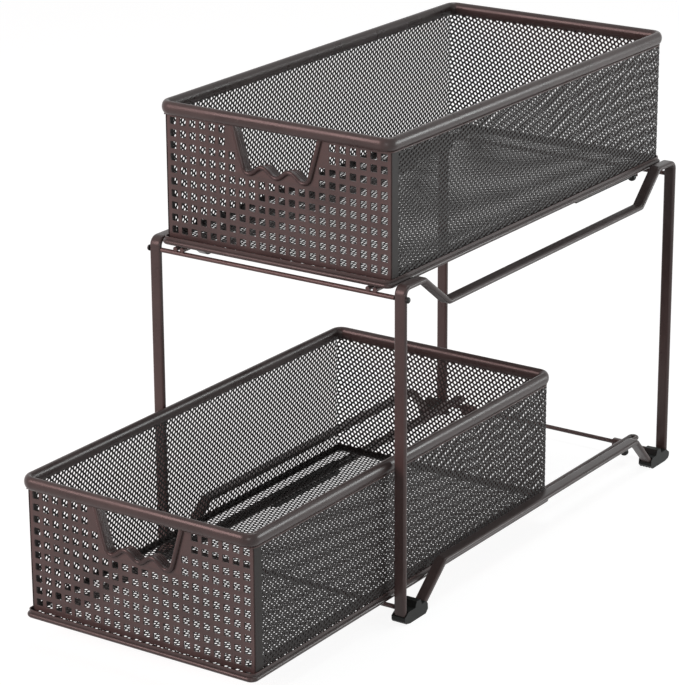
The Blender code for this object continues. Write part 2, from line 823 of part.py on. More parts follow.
def make_caps(end, y, z, root, pieces):
    """The round caps outside the legs, over the ends of the rod."""
    radius = CAP_DIAMETER / 2
    crown_radius, crown_height = CAP_CROWN_SHARES
    profile = [
        (0, CAP_HEIGHT),
        (radius * crown_radius, CAP_HEIGHT * crown_height),
        (radius, CAP_HEIGHT * CAP_EDGE_SHARE),
        (radius, 0),
        (0, 0),
    ]
    for side, sign in (("left", -1), ("right", 1)):
        cap = turned(f"{end}_{side}_rod_cap", profile, root, pieces)
        x = sign * (frame_offset + STRIP_WIDTH / 2 + SEAT_GAP)
        cap.matrix_basis = Matrix.Translation((x, y, z)) @ Matrix.Rotation(sign * math.pi / 2, 4, "Y")
        black_plastic(cap)


def track_path(rear):
    """One track seen from above: forward, round the hairpin at the back and forward again."""
    half = TRACK_PITCH / 2
    front = front_leg - TRACK_FRONT_OVERHANG
    path = [(half, front)]
    for step in range(HAIRPIN_STEPS + 1):
        angle = math.pi * step / HAIRPIN_STEPS
        path.append((half * math.cos(angle), rear - half + half * math.sin(angle)))
    path.append((-half, front))
    return path


def bracket_path():
    """The bracket's section: it hangs in front of the rear rod and hooks over it."""
    reach = ROD_DIAMETER / 2 + SEAT_GAP + BRACKET_THICKNESS / 2
    corners = [(-reach, -BRACKET_DROP), (-reach, reach), (reach, reach), (reach, 0)]
    return filleted(corners, BRACKET_BEND_RADIUS, SMALL_BEND_STEPS)


def make_tier_rails(tier, rim_height, rear_rod_y, tail, root, pieces):
    """The two tracks of one tier, with the bracket on the rear rod and the stop under each."""
    rod_z = rim_height + rod_centre - REAR_ROD_DROP
    rear_end = rear_rod_y + tail
    radius = STOP_DIAMETER / 2
    neck = STOP_NECK_DIAMETER / 2
    stop_profile = [
        (0, STOP_LENGTH),
        (radius * STOP_FACE_SHARE, STOP_LENGTH),
        (radius, STOP_LENGTH - radius * (1 - STOP_FACE_SHARE)),
        (radius, STOP_NECK_LENGTH),
        (neck, STOP_NECK_LENGTH),
        (neck, 0),
        (0, 0),
    ]
    for side, sign in (("left", -1), ("right", 1)):
        x = sign * track_offset
        points = [
            (x + across, y, rim_height + track_centre) for across, y in track_path(rear_end)
        ]
        bronze(tube(f"{tier}_{side}_track", points, TRACK_WIRE_DIAMETER, root, pieces))
        bracket = ribbon(
            f"{tier}_{side}_bracket", bracket_path(), BRACKET_THICKNESS, BRACKET_WIDTH, root, pieces
        )
        outer_edge = track_offset - TRACK_PITCH / 2 - TRACK_WIRE_DIAMETER / 2 - SEAT_GAP
        bracket_x = sign * (outer_edge - BRACKET_WIDTH / 2)
        bronze(sideways(bracket, (bracket_x, rear_rod_y, rod_z)))
        stop = turned(f"{tier}_{side}_stop", stop_profile, root, pieces)
        stop_x = sign * (track_offset + TRACK_PITCH / 2)
        stop_z = rim_height + track_bottom - SEAT_GAP - radius
        face_front = Matrix.Rotation(math.pi / 2, 4, "X")
        stop.matrix_basis = Matrix.Translation((stop_x, stop_rear, stop_z)) @ face_front
        black_plastic(stop)


def make_rods(root, pieces):
    """The front rods carry the tracks' ends, and the rear rods lie lower, in the brackets."""
    to_strip = frame_offset - STRIP_WIDTH / 2 - SEAT_GAP
    to_foot = frame_offset - FOOT_WIDTH / 2 - SEAT_GAP
    upper_rear_height = upper_rod_height - REAR_ROD_DROP
    lower_rear_height = LOWER_ROD_HEIGHT - REAR_ROD_DROP
    make_rod("upper_front_rod", front_leg, upper_rod_height, to_strip, root, pieces)
    make_rod("upper_rear_rod", rear_leg, upper_rear_height, to_strip, root, pieces)
    make_rod("lower_front_rod", front_leg, LOWER_ROD_HEIGHT, to_strip, root, pieces)
    make_rod("lower_rear_rod", lower_rear_rod, lower_rear_height, to_foot, root, pieces)
    make_caps("front", front_leg, upper_rod_height, root, pieces)


def make_frame(root, strip_profile, pieces, cutters):
    for side, sign in (("left", -1), ("right", 1)):
        make_side(side, sign, root, strip_profile, pieces, cutters)
    make_rods(root, pieces)
    make_tier_rails("upper", upper_rim_height, rear_leg, UPPER_TRACK_TAIL, root, pieces)
    make_tier_rails("lower", lower_rim_height, lower_rear_rod, LOWER_TRACK_TAIL, root, pieces)


def main():
    clear_scene()
    pieces = new_collection("two_tier_organizer")
    cutters = new_collection("cutters")
    strip_profile = flat_oval_section(cutters)
    profiles = {
        "rim": rim_section(cutters),
        "base": base_section(cutters),
        "trim": trim_section(cutters),
    }
    root = add_object("frame_origin", None, None, pieces, (0, -middle_of_depth, 0))
    upper_slide = add_object("upper_slide", None, root, pieces, (0, 0, upper_rim_height))
    lower_place = (0, -LOWER_BASKET_PULLED, lower_rim_height)
    lower_slide = add_object("lower_slide", None, root, pieces, lower_place)
    make_frame(root, strip_profile, pieces, cutters)
    make_basket("upper", upper_slide, profiles, pieces, cutters)
    make_basket("lower", lower_slide, profiles, pieces, cutters)


main()
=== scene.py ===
"""Looks of the two-tier sliding basket organizer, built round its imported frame. Metres, +Z up.

Basket pieces are drawn from the middle of the rim's front edge, and frame pieces where their CAD
nodes are.
"""

import json
import math

import bmesh
import bpy
from mathutils import Matrix, Vector

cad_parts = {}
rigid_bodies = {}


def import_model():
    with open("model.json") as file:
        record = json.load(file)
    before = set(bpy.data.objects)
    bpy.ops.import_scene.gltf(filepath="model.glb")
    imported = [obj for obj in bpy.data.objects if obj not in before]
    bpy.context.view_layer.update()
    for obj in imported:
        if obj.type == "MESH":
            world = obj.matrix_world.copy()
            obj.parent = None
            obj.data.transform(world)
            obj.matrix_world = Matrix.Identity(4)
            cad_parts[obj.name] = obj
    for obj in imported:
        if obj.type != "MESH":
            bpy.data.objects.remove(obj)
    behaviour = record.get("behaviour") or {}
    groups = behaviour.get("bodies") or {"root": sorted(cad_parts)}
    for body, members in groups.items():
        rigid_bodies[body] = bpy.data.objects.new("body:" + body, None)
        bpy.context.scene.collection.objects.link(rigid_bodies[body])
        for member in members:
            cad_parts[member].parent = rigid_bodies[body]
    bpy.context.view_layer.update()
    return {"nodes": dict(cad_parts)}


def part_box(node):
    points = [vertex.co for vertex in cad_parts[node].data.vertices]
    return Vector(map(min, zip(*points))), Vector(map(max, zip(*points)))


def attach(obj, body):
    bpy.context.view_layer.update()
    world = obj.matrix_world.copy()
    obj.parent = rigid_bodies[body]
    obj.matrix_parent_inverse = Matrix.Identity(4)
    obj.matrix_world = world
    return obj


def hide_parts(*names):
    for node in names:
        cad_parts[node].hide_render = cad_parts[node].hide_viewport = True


# Basket sizes, as in the part's source
BASKET_WIDTH = 0.200
BASKET_DEPTH = 0.400
HALF_WIDTH = BASKET_WIDTH / 2
CORNER_RADIUS = 0.0073
WALL_CORNER_RADIUS = 0.0030
RIM_DIAMETER = 0.0070
BASE_WIRE_CENTRE = -0.1052
BASE_WIRE_DIAMETER = 0.0040
BASE_WIRE_OUTSET = 0.0013

# How far the rim's oval reaches below its centre line, and the hems under it and on the base wire
ROLL_FOOT = 0.0069
RIM_HEM_TOP = -0.0066
RIM_HEM_DROP = 0.0010
RIM_HEM_OUTSET = 0.0006
RIM_HEM_WIDTH = 0.0014
RIM_HEM_CHAMFER = 0.0004
BASE_HEM_TOP = -0.1010
BASE_HEM_THICKNESS = 0.0008

# Punched plate and its handle opening
PLATE_FRONT = 0.0038
PLATE_THICKNESS = 0.0012
PLATE_TOP = -0.0010
PLATE_SHOULDER = -0.0070
PLATE_BOTTOM = -0.1034
PLATE_HALF = 0.0993
PLATE_EDGE_BEVEL = 0.00015
HOLE_COLUMNS = 22
HOLE_ROWS = 10
HOLE_PITCH_X = 0.00892
HOLE_PITCH_Z = 0.00932
HOLE_SIDE = 0.0056
HOLE_CORNER = 0.0007
FIRST_ROW_DROP = 0.0123
HOLE_CLEARANCE = 0.0008
HANDLE_TOP_HALF = 0.0395
HANDLE_TOP_DROP = 0.0045
HANDLE_FOOT_HALF = 0.02860
HANDLE_DEPTH = 0.0420
HANDLE_WAVE_LENGTH = 0.0243
HANDLE_WAVE_HEIGHT = 0.0062
HANDLE_CORNER_RADIUS = 0.00585
BEAD_DIAMETER = 0.0037
BEAD_FORWARD = 0.0012
TRIM_GAP = 0.0003

# Folded sheet behind the handle's bead: where its ridges are, and near its end the distance from
# the end with what is added to each side there
LINING_DEPTH = 0.0074
LINING_THICKNESS = 0.0009
LINING_RIDGES = (0.0032, 0.0052)
LINING_RIDGE_SIZE = 0.0003
LINING_END = ((0.0009, 0.0), (0.0006, 0.0003), (0.0002, 0.0003), (0.0, 0.0))

# Expanded mesh: neighbouring holes are one (long, short) or one (short, long) step apart
CELL_LONG = 0.003725
CELL_SHORT = 0.00125
WALL_OPEN_SHARE = 0.60
FLOOR_OPEN_SHARE = 0.70
WEB_RELIEF = 0.00020
WEB_THICKNESS = 0.00046
WALL_TOP = -0.0062
WALL_BOTTOM = -0.1040
FLOOR_LEVEL = -0.1036
FLOOR_INSET = 0.0002

# Plain strip between the plate and a side wall's mesh
MARGIN_WIDTH = 0.0085
MARGIN_THICKNESS = 0.0008
MARGIN_OVERLAP = 0.0006

# Side frames
STRIP_WIDTH = 0.0100
STRIP_THICKNESS = 0.0040
FRONT_LEG = 0.0007
REAR_LEG = 0.4043
LEG_END = 0.0034
SIDE_TOP = 0.2606
SIDE_DIP = 0.0256
TOP_BEND_RADIUS = 0.0055
DIP_BEND_RADIUS = 0.0040
DIP_FRONT_START = 0.0262
DIP_FRONT_RUN = 0.0337
DIP_REAR_START = 0.0257
DIP_REAR_RUN = 0.0276
RAIL_HEIGHT = 0.0315
RAIL_END_HEIGHT = 0.0055
RAIL_END_INSET = 0.0250
RAIL_FRONT_BEND = 0.0563
RAIL_REAR_BEND = 0.0503
WIRE_DIAMETER = 0.0036

# A stop's knob as shares of its radius, and where along it: round its face, as shares of the
# radius back from the face, and at its neck, as shares of the length from its base
KNOB_FACE_SHARES = ((0, 0), (0.62, 0), (0.90, 0.13), (1, 0.40))
KNOB_NECK_SHARES = ((1, 0.36), (0.92, 0.30), (0.60, 0.30), (0.60, 0), (0, 0))

# A rod cap's dome, in degrees from its tip and in shares of its height
DOME_ANGLES = (15, 35, 55, 75)
DOME_SHARE = 0.55
CAP_EDGE_SHARE = 0.40

# Smoothness
FINE_BEND = 14
ROLL_STEPS = 28
WIRE_STEPS = 20
HOLE_CORNER_STEPS = 2
SMOOTH_ANGLE = math.radians(35)
SHARPEST_MITRE = math.cos(math.radians(60))
MERGE_DISTANCE = 0.000001
EDGE_ROUNDING = 0.00035
FOOT_ROUNDING = 0.0005
BRACKET_ROUNDING = 0.0003
MARGIN_ROUNDING = 0.0002
ROUNDING_STEPS = 2

# Finishes: colours, and the sheen that sets how much of its surroundings a surface mirrors
BROWN = (0.041, 0.033, 0.032)
# The trim's darker, redder brown is painted shade that sets the handle's bead and lining off from the
# plate
SHADED_TRIM_BROWN = (0.022, 0.012, 0.012)
PLATE_BROWN = (0.058, 0.048, 0.047)
# The mesh's brown is darker than the frame's: partly its own colour, partly painted shade of the basket's
# inside
LATTICE_BROWN_AND_PAINTED_SHADE = (0.028, 0.0250, 0.0245)
# The margin's brown, darker than the plate's, is painted shade
MARGIN_PAINTED_SHADE_BROWN = (0.036, 0.033, 0.032)
# Copper for fine grain wear, and on raised edges and bends partly wear and partly a painted highlight
WEAR_AND_HIGHLIGHT_COPPER = (0.110, 0.070, 0.066)
FOOT_BLACK = (0.008, 0.0085, 0.008)
FITTING_BLACK = (0.018, 0.019, 0.018)
LACQUER_SHEEN = 0.30
LATTICE_SHEEN = 0.14
MARGIN_SHEEN = 0.12
PLASTIC_SHEEN = 0.20

# Patterns in the finishes: the span of a pattern that is used, and what it changes
SLOW_SPAN = (0.30, 0.70)
GRAIN_SPAN = (0.35, 0.65)
# The edge span and share set the paler copper on raised edges and bends: partly wear, partly a painted
# highlight
EDGE_WEAR_AND_HIGHLIGHT_SPAN = (0.52, 0.60)
GRAIN_WEAR_SHARE = 0.35
EDGE_WEAR_AND_HIGHLIGHT_SHARE = 0.70
LACQUER_TONE_SHARES = (0.72, 1.25)
PLASTIC_TONE_SHARES = (0.75, 1.30)
LACQUER_ROUGHNESS_CHANGE = (-0.05, 0.07)
PLASTIC_ROUGHNESS_CHANGE = (-0.06, 0.08)
PLASTIC_TONE_SCALE = 60.0
LACQUER_BUMP = 0.0004
PLASTIC_BUMP = 0.0003

# Light and background
STAGE_REACH = 6.0
STAGE_TOP = -0.0002
STAGE_BOTTOM = -0.02
FLOOR_COLOUR = 0.50
SHADOW_SHARE = 0.25
FLOOR_GLOW = 0.90
WORLD_LIGHT = 0.16

# Each lamp's name, place, size, power in watts and colour. All of them point at one place.
LAMP_TARGET = (0, 0, 0.18)
LAMPS = (
    ("key", (-1.0, -1.9, 1.0), (1.0, 1.0), 34, (1.0, 0.64, 0.62)),
    ("top", (0.1, 0.7, 2.4), (1.2, 1.2), 20, (0.94, 1.0, 1.0)),
    ("side", (1.6, 1.2, 0.3), (1.3, 0.5), 20, (0.96, 1.0, 1.0)),
    ("fill", (1.5, -1.9, 0.5), (0.7, 0.7), 9, (1.0, 0.97, 0.96)),
)

# Camera, solved from the photograph, and the photograph's frame
CAMERA_PLACE = (1.19747, -1.78119, 0.90601)
CAMERA_YAW = 0.5904
CAMERA_PITCH = 0.3257
CAMERA_ROLL = -0.0023
FOCAL_PIXELS = 2937.10
AXIS_X = 368.08
AXIS_Y = 323.31
FRAME_WIDTH = 679
FRAME_HEIGHT = 685
SENSOR = 36.0
CLIP_START = 0.05
CLIP_END = 50.0


# Scene helpers

def clear_scene():
    for old in list(bpy.data.objects):
        bpy.data.objects.remove(old)


def scene_object(name, data):
    made = bpy.data.objects.new(name, data)
    bpy.context.scene.collection.objects.link(made)
    return made


def mesh_object(name, points, faces):
    mesh = bpy.data.meshes.new(name)
    mesh.from_pydata([tuple(point) for point in points], [], faces)
    mesh.validate()
    return scene_object(name, mesh)


def smooth_by_angle(mesh):
    mesh.polygons.foreach_set("use_smooth", [True] * len(mesh.polygons))
    mesh.set_sharp_from_angle(angle=SMOOTH_ANGLE)


def outward(mesh, merge_distance=0.0):
    """Turns all faces outwards, once vertices closer than the merge distance are joined."""
    work = bmesh.new()
    work.from_mesh(mesh)
    if merge_distance:
        bmesh.ops.remove_doubles(work, verts=work.verts, dist=merge_distance)
    bmesh.ops.recalc_face_normals(work, faces=work.faces)
    work.to_mesh(mesh)
    work.free()


def colour_piece(piece, material):
    piece.data.materials.clear()
    piece.data.materials.append(material)


def dress(piece, body, slot, material, *nodes):
    """Colours a piece, lets it ride on its body and hides the CAD nodes that it stands for."""
    colour_piece(piece, material)
    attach(piece, body)
    if nodes:
        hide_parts(*nodes)


# Paths as lists of 2D points

def filleted(corners, radius):
    """A path through the corners, each rounded to the radius."""
    path = [corners[0]]
    for before, corner, after in zip(corners, corners[1:], corners[2:]):
        arrive = (Vector(corner) - Vector(before)).normalized()
        leave = (Vector(after) - Vector(corner)).normalized()
        turn = arrive.angle_signed(leave)
        tangent = radius * math.tan(abs(turn) / 2)
        side = Vector((-arrive.y, arrive.x)) * math.copysign(radius, -turn)
        start = Vector(corner) - arrive * tangent
        centre = start + side
        for step in range(FINE_BEND + 1):
            spoke = Matrix.Rotation(-turn * step / FINE_BEND, 2) @ -side
            path.append(tuple(centre + spoke))
    path.append(corners[-1])
    return path


def rounded_rectangle(half_x, low_y, high_y, radius, steps):
    """Its outline from the low right corner round to the low left one."""
    path = []
    centres = (
        (half_x - radius, low_y + radius, -math.pi / 2),
        (half_x - radius, high_y - radius, 0),
        (radius - half_x, high_y - radius, math.pi / 2),
        (radius - half_x, low_y + radius, math.pi),
    )
    for centre_x, centre_y, start in centres:
        for step in range(steps + 1):
            angle = start + math.pi / 2 * step / steps
            path.append((centre_x + radius * math.cos(angle), centre_y + radius * math.sin(angle)))
    return path


def directions(points, closed=False):
    """The directions in which a path reaches and leaves each of its points."""
    leave = [(after - point).normalized() for point, after in zip(points, points[1:] + points[:1])]
    if closed:
        return list(zip(leave[-1:] + leave[:-1], leave))
    leave[-1] = leave[-2]
    return list(zip(leave[:1] + leave[:-1], leave))


def mitre(arrive, leave):
    """The direction along a path at a corner, and how many times wider a section is there."""
    along = (arrive + leave).normalized()
    return along, 1 / max(along.dot(arrive), SHARPEST_MITRE)


def offset_path(path, distance):
    """The path moved to its left by the distance."""
    points = [Vector(point) for point in path]
    moved = []
    for point, (arrive, leave) in zip(points, directions(points)):
        along, widening = mitre(arrive, leave)
        moved.append(tuple(point + Vector((-along.y, along.x)) * widening * distance))
    return moved


def inside(point, outline):
    """Whether the point is inside the closed outline, which is crossed an odd number of times
    on the way out to the right."""
    crossings = 0
    x, y = point
    for (x0, y0), (x1, y1) in zip(outline, outline[1:] + outline[:1]):
        if (y0 > y) != (y1 > y) and x < x0 + (x1 - x0) * (y - y0) / (y1 - y0):
            crossings += 1
    return crossings % 2 == 1


# Shapes

def circle(radius, steps, centre=(0, 0)):
    return [
        (
            centre[0] + radius * math.cos(2 * math.pi * step / steps),
            centre[1] + radius * math.sin(2 * math.pi * step / steps),
        )
        for step in range(steps)
    ]


def sweep(name, path, up, section, closed=False):
    """Carries a closed section along a flat 3D path. The section's first axis points to the
    path's right, seen with up towards the viewer, and its second along up."""
    points = [Vector(point) for point in path]
    up = Vector(up).normalized()
    count = len(points)
    verts = []
    for point, (arrive, leave) in zip(points, directions(points, closed)):
        along, widening = mitre(arrive, leave)
        right = along.cross(up) * widening
        for across, high in section:
            verts.append(point + right * across + up * high)
    ring = len(section)
    faces = []
    for index in range(count if closed else count - 1):
        here = index * ring
        there = (index + 1) % count * ring
        for step in range(ring):
            later = (step + 1) % ring
            faces.append((here + step, there + step, there + later, here + later))
    if not closed:
        faces.append(tuple(range(ring)))
        faces.append(tuple(reversed(range((count - 1) * ring, count * ring))))
    made = mesh_object(name, verts, faces)
    outward(made.data)
    smooth_by_angle(made.data)
    return made


def turned(name, profile, base, axis):
    """A profile of radius and height, turned round the axis from its base."""
    steps = WIRE_STEPS
    turn = Vector((0, 0, 1)).rotation_difference(Vector(axis)).to_matrix()
    rings = [(radius, height) for radius, height in profile if radius]
    verts = [Vector(base) + turn @ Vector((0, 0, profile[0][1]))]
    for radius, height in rings:
        for x, y in circle(radius, steps):
            verts.append(Vector(base) + turn @ Vector((x, y, height)))
    verts.append(Vector(base) + turn @ Vector((0, 0, profile[-1][1])))
    faces = []
    for step in range(steps):
        later = (step + 1) % steps
        faces.append((0, 1 + later, 1 + step))
        for ring in range(len(rings) - 1):
            low, high = 1 + ring * steps, 1 + (ring + 1) * steps
            faces.append((low + step, low + later, high + later, high + step))
        top = 1 + (len(rings) - 1) * steps
        faces.append((top + step, top + later, len(verts) - 1))
    made = mesh_object(name, verts, faces)
    outward(made.data)
    smooth_by_angle(made.data)
    return made


def flat_sheet(name, outlines, thickness, bevel):
    """A punched sheet in its own XY plane with softened edges."""
    curve = bpy.data.curves.new(name, "CURVE")
    curve.dimensions = "2D"
    curve.fill_mode = "BOTH"
    curve.resolution_u = 1
    for outline in outlines:
        spline = curve.splines.new("POLY")
        spline.points.add(len(outline) - 1)
        for target, (x, y) in zip(spline.points, outline):
            target.co = (x, y, 0, 1)
        spline.use_cyclic_u = True
    curve.extrude = thickness / 2 - bevel
    curve.bevel_depth = bevel
    curve.bevel_resolution = 0
    curve.offset = -bevel
    holder = scene_object(name, curve)
    graph = bpy.context.evaluated_depsgraph_get()
    mesh = bpy.data.meshes.new_from_object(holder.evaluated_get(graph))
    bpy.data.objects.remove(holder)
    outward(mesh, MERGE_DISTANCE)
    return scene_object(name, mesh)


def block(name, low, high):
    """A box between two of its corners."""
    xs, ys, zs = zip(low, high)
    verts = [(x, y, z) for x in xs for y in ys for z in zs]
    faces = [(0, 1, 3, 2), (4, 6, 7, 5), (0, 4, 5, 1), (2, 3, 7, 6), (0, 2, 6, 4), (1, 5, 7, 3)]
    made = mesh_object(name, verts, faces)
    outward(made.data)
    return made


def soften(piece, width):
    """Rounds the edges of a piece that the CAD or this script draws sharp."""
    bevel = piece.modifiers.new("edge_rounding", "BEVEL")
    bevel.width = width
    bevel.segments = ROUNDING_STEPS
    bevel.limit_method = "ANGLE"
    bevel.angle_limit = SMOOTH_ANGLE
    return piece


# Expanded mesh, built cell by cell

def cell_corner(first, second):
    """The point as far from a hole's centre as from two of its neighbours' centres."""
    cross = 2 * (first.x * second.y - first.y * second.x)
    x = (second.y * first.length_squared - first.y * second.length_squared) / cross
    y = (first.x * second.length_squared - second.x * first.length_squared) / cross
    return Vector((x, y))


def mesh_cell(lean):
    """The two steps between neighbouring holes and the six corners of one cell.

    Lean is 1 where the holes' rows rise along the panel and -1 where they fall."""
    first = Vector((CELL_LONG, lean * CELL_SHORT))
    second = Vector((CELL_SHORT, lean * CELL_LONG))
    around = [first, second, second - first, -first, -second, first - second]
    return first, second, [cell_corner(a, b) for a, b in zip(around, around[1:] + around[:1])]


def clipped(polygon, low, high):
    """A convex polygon of (along, up, relief) points cut to a panel."""
    for axis in (0, 1):
        for bound, sign in ((low[axis], 1), (high[axis], -1)):
            kept = []
            for here, there in zip(polygon, polygon[1:] + polygon[:1]):
                reach, next_reach = sign * (here[axis] - bound), sign * (there[axis] - bound)
                if reach >= 0:
                    kept.append(here)
                if (reach > 0 > next_reach) or (reach < 0 < next_reach):
                    share = reach / (reach - next_reach)
                    kept.append(tuple(a + (b - a) * share for a, b in zip(here, there)))
            polygon = kept
            if len(polygon) < 3:
                return []
    return polygon


def hole_centres(first, second, low, high):
    """The centres of all the cells that can touch the panel."""
    margin = first.length
    reach = math.ceil((high[0] + high[1] + 2 * margin) / CELL_SHORT)
    centres = []
    for step in range(-reach, reach):
        row = second * step
        start = math.ceil((low[0] - margin - row.x) / first.x)
        end = math.floor((high[0] + margin - row.x) / first.x)
        for index in range(start, end + 1):
            centre = row + first * index
            if low[1] - margin < centre.y < high[1] + margin:
                centres.append(centre)
    return centres


def add_web(verts, faces, web, place, whole):
    """Adds both faces of one web, and the wall that a whole web has on its hole's side."""
    base = len(verts)
    half = WEB_THICKNESS / 2
    for along, up, relief in web:
        point, normal = place(along, up)
        verts.append(point + normal * (relief + half))
        verts.append(point + normal * (relief - half))
    count = len(web)
    faces.append([base + 2 * index for index in range(count)])
    faces.append([base + 2 * index + 1 for index in reversed(range(count))])
    if whole:
        faces.append((base + 4, base + 6, base + 7, base + 5))


def lattice(name, low, high, lean, open_share, place):
    """Expanded mesh over a panel: webs round holes in rows, with the webs' meetings raised and
    sunk in turn. A hole is as wide as the open share of its cell. Place maps (along, up) to a
    3D point and its outward normal."""
    first, second, corners = mesh_cell(lean)
    sides = len(corners)
    verts, faces = [], []
    for centre in hole_centres(first, second, low, high):
        outer = []
        for index, corner in enumerate(corners):
            outer.append((*(centre + corner), WEB_RELIEF * (-1) ** index))
        inner = [(*(centre + corner * open_share), 0.0) for corner in corners]
        whole = all(low[0] <= u <= high[0] and low[1] <= v <= high[1] for u, v, _ in outer)
        for index in range(sides):
            start, end = index, (index + 1) % sides
            if lean < 0:
                start, end = end, start
            web = [outer[start], outer[end], inner[end], inner[start]]
            if not whole:
                web = clipped(web, low, high)
            if web:
                add_web(verts, faces, web, place, whole)
    return mesh_object(name, verts, faces)


def flat_place(origin, along, up):
    """Maps a flat panel's lengths to places in space."""
    along, up = Vector(along), Vector(up)
    normal = along.cross(up)
    return lambda s, z: (Vector(origin) + along * s + up * z, normal)


def corner_place(origin, straight, radius):
    """Maps the back wall's unrolled length round its two rear corners."""
    quarter = math.pi / 2 * radius

    def place(s, z):
        if s < quarter:
            angle = s / radius
            centre = Vector((-straight / 2, -radius, 0))
            spoke = Vector((-math.cos(angle), math.sin(angle), 0))
        elif s < quarter + straight:
            centre = Vector((s - quarter - straight / 2, -radius, 0))
            spoke = Vector((0, 1, 0))
        else:
            angle = (s - quarter - straight) / radius
            centre = Vector((straight / 2, -radius, 0))
            spoke = Vector((math.sin(angle), math.cos(angle), 0))
        return origin + centre + spoke * radius + Vector((0, 0, z)), spoke

    return place


# Materials

def node(tree, kind, **settings):
    """A new node with its inputs or properties set by name."""
    made = tree.nodes.new(kind)
    for key, value in settings.items():
        if key in made.inputs:
            made.inputs[key].default_value = value
        else:
            setattr(made, key, value)
    return made


def ramp(tree, source, span, result):
    """Turns the span of the source's values into the result's, and stops at its ends."""
    made = tree.nodes.new("ShaderNodeMapRange")
    made.inputs["From Min"].default_value, made.inputs["From Max"].default_value = span
    made.inputs["To Min"].default_value, made.inputs["To Max"].default_value = result
    tree.links.new(source, made.inputs["Value"])
    return made.outputs["Result"]


def blend_colours(tree, share, first, second):
    mix = tree.nodes.new("ShaderNodeMix")
    mix.data_type = "RGBA"
    tree.links.new(share, mix.inputs["Factor"])
    for socket, value in ((mix.inputs["A"], first), (mix.inputs["B"], second)):
        if isinstance(value, tuple):
            socket.default_value = (*value, 1)
        else:
            tree.links.new(value, socket)
    return mix.outputs["Result"]


def pattern(tree, scale, detail, roughness):
    """Noise that stays with the object."""
    place = tree.nodes.new("ShaderNodeTexCoord")
    noise = node(tree, "ShaderNodeTexNoise", Scale=scale, Detail=detail, Roughness=roughness)
    tree.links.new(place.outputs["Object"], noise.inputs["Vector"])
    return noise.outputs["Fac"]


def tones(tree, source, colour, shares):
    """The colour, darker and paler with the source."""
    dark, pale = (tuple(share * channel for channel in colour) for share in shares)
    return blend_colours(tree, ramp(tree, source, SLOW_SPAN, (0.0, 1.0)), dark, pale)


def roughen(tree, shader, source, roughness, change):
    """Varies the shader's roughness with the source."""
    smoother, rougher = change
    varied = ramp(tree, source, SLOW_SPAN, (roughness + smoother, roughness + rougher))
    tree.links.new(varied, shader.inputs["Roughness"])


def emboss(tree, shader, source, strength, depth):
    """Lets the shader's surface rise and fall with the source."""
    bumps = node(tree, "ShaderNodeBump", Strength=strength, Distance=depth)
    tree.links.new(source, bumps.inputs["Height"])
    tree.links.new(bumps.outputs["Normal"], shader.inputs["Normal"])


def new_material(name, sheen):
    material = bpy.data.materials.new(name)
    material.use_nodes = True
    shader = material.node_tree.nodes["Principled BSDF"]
    shader.inputs["Specular IOR Level"].default_value = sheen
    return material, material.node_tree, shader


def lacquer(name, colour, roughness, grain, tone, bump):
    """Baked lacquer: slow tone changes, fine grain, and paler copper on raised edges and bends, there
    partly wear and partly a painted highlight.
    """
    material, tree, shader = new_material(name, LACQUER_SHEEN)
    slow = pattern(tree, tone, detail=3.0, roughness=0.55)
    fine = pattern(tree, grain, detail=2.0, roughness=0.6)
    toned = tones(tree, slow, colour, LACQUER_TONE_SHARES)
    wear = ramp(tree, fine, GRAIN_SPAN, (0.0, GRAIN_WEAR_SHARE))
    grained = blend_colours(tree, wear, toned, WEAR_AND_HIGHLIGHT_COPPER)
    geometry = tree.nodes.new("ShaderNodeNewGeometry")
    # Pointy raised edges and bends turn paler copper: partly wear, partly a painted highlight
    rubbed_and_highlit = ramp(tree, geometry.outputs["Pointiness"], EDGE_WEAR_AND_HIGHLIGHT_SPAN, (0.0, EDGE_WEAR_AND_HIGHLIGHT_SHARE))
    worn_and_highlit = blend_colours(tree, rubbed_and_highlit, grained, WEAR_AND_HIGHLIGHT_COPPER)
    tree.links.new(worn_and_highlit, shader.inputs["Base Color"])
    roughen(tree, shader, slow, roughness, LACQUER_ROUGHNESS_CHANGE)
    emboss(tree, shader, fine, bump, LACQUER_BUMP)
    return material


def plain(name, colour, sheen, roughness):
    """One even finish, for pieces too fine to show any pattern."""
    material, _, shader = new_material(name, sheen)
    shader.inputs["Base Color"].default_value = (*colour, 1)
    shader.inputs["Roughness"].default_value = roughness
    return material


def moulded(name, colour, roughness, grain, bump):
    """Moulded plastic with a fine spark-eroded grain."""
    material, tree, shader = new_material(name, PLASTIC_SHEEN)
    fine = pattern(tree, grain, detail=3.0, roughness=0.6)
    slow = pattern(tree, PLASTIC_TONE_SCALE, detail=2.0, roughness=0.5)
    toned = tones(tree, slow, colour, PLASTIC_TONE_SHARES)
    tree.links.new(toned, shader.inputs["Base Color"])
    roughen(tree, shader, fine, roughness, PLASTIC_ROUGHNESS_CHANGE)
    emboss(tree, shader, fine, bump, PLASTIC_BUMP)
    return material


